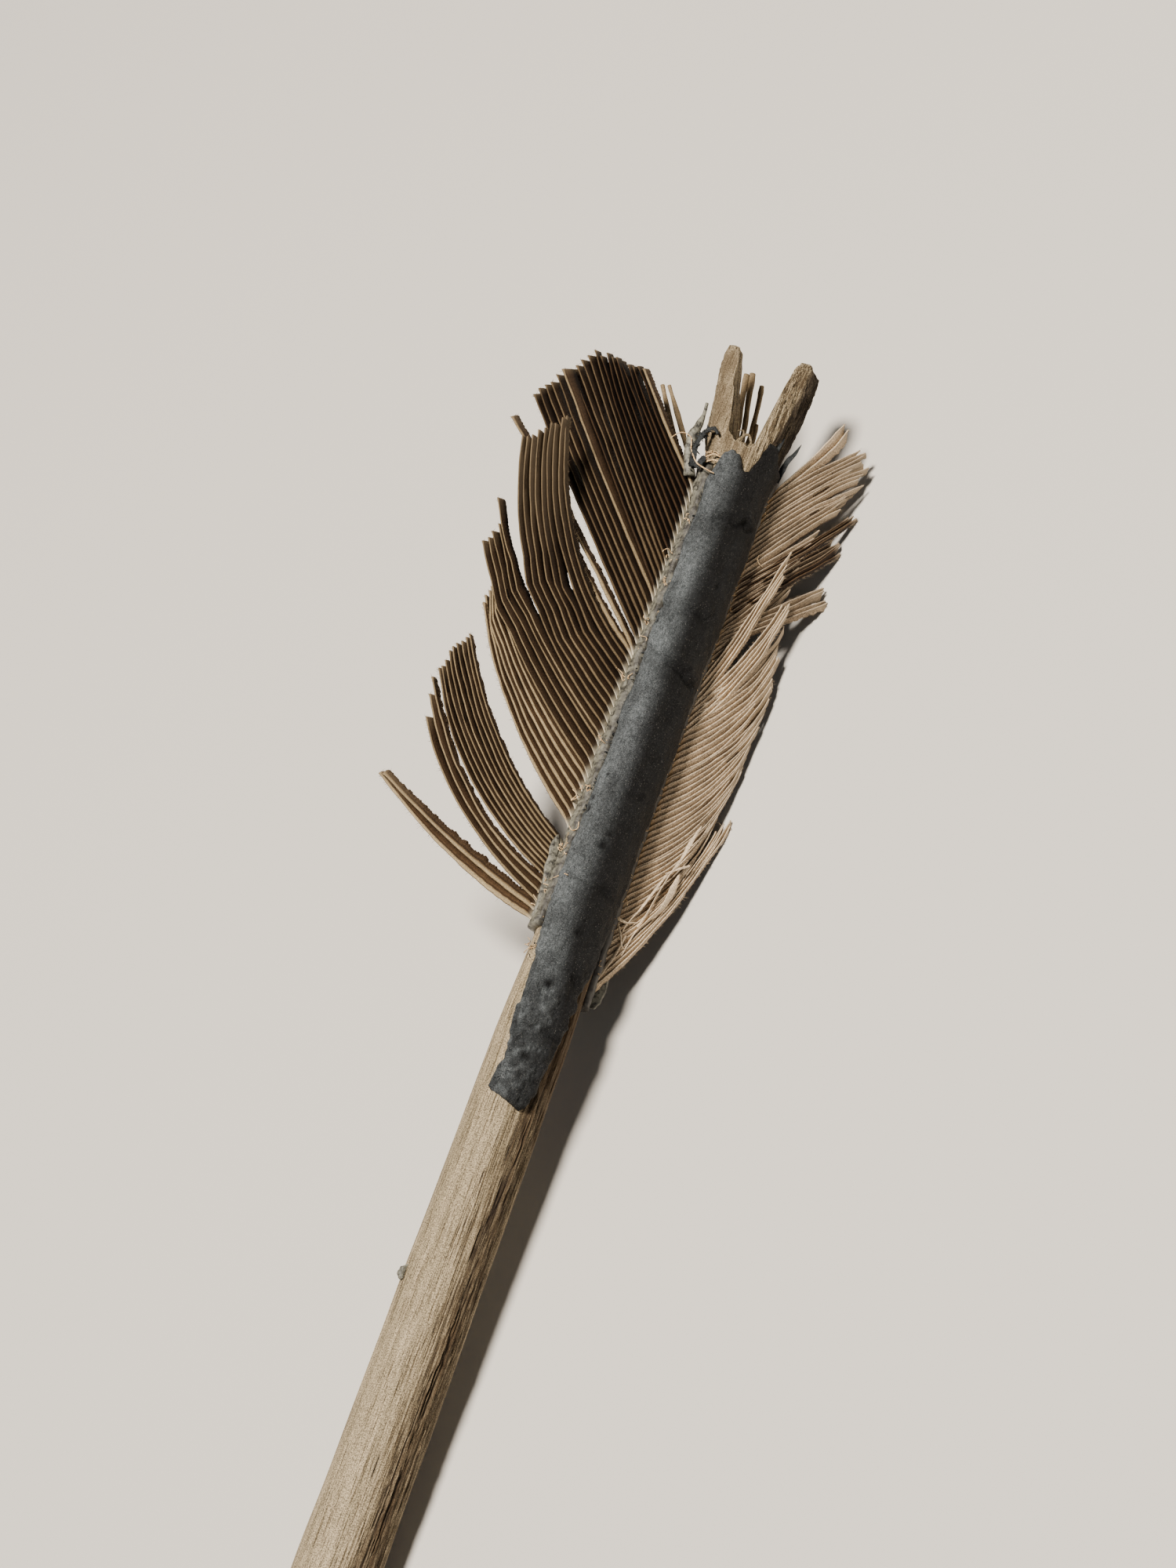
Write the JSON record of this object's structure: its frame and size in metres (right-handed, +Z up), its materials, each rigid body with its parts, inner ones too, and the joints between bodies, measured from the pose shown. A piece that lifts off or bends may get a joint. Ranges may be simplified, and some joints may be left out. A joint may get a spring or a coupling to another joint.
{
  "type": "arrow nock end",
  "caption": "Fletched nock end of an old wooden arrow: split goose feathers and dark pitch on a slim shaft that ends in a forked nock for the bowstring.",
  "frame": {"origin": "on the ground under the middle of the piece's bounding box, as it lies on its feathers and the edge of its cut end", "axes": "+Y along the shaft from the cut end towards the nock, +Z up, +X to the side where the right feather rests"},
  "size_m": [0.0236, 0.1304, 0.0276],
  "materials": {
    "wood": "bare, weathered, fine straight grain",
    "pitch": "dark grey pitch, matt, dusty, finely pitted",
    "vane": "dry feather, pale ridges on brown web"
  },
  "bodies": {
    "root": {"shaft": "wood", "pitch_face": "pitch", "pitch_left": "pitch", "pitch_right": "pitch", "feather_left": "vane", "feather_right": "vane", "feather_back": "vane"}
  },
  "joints": []
}
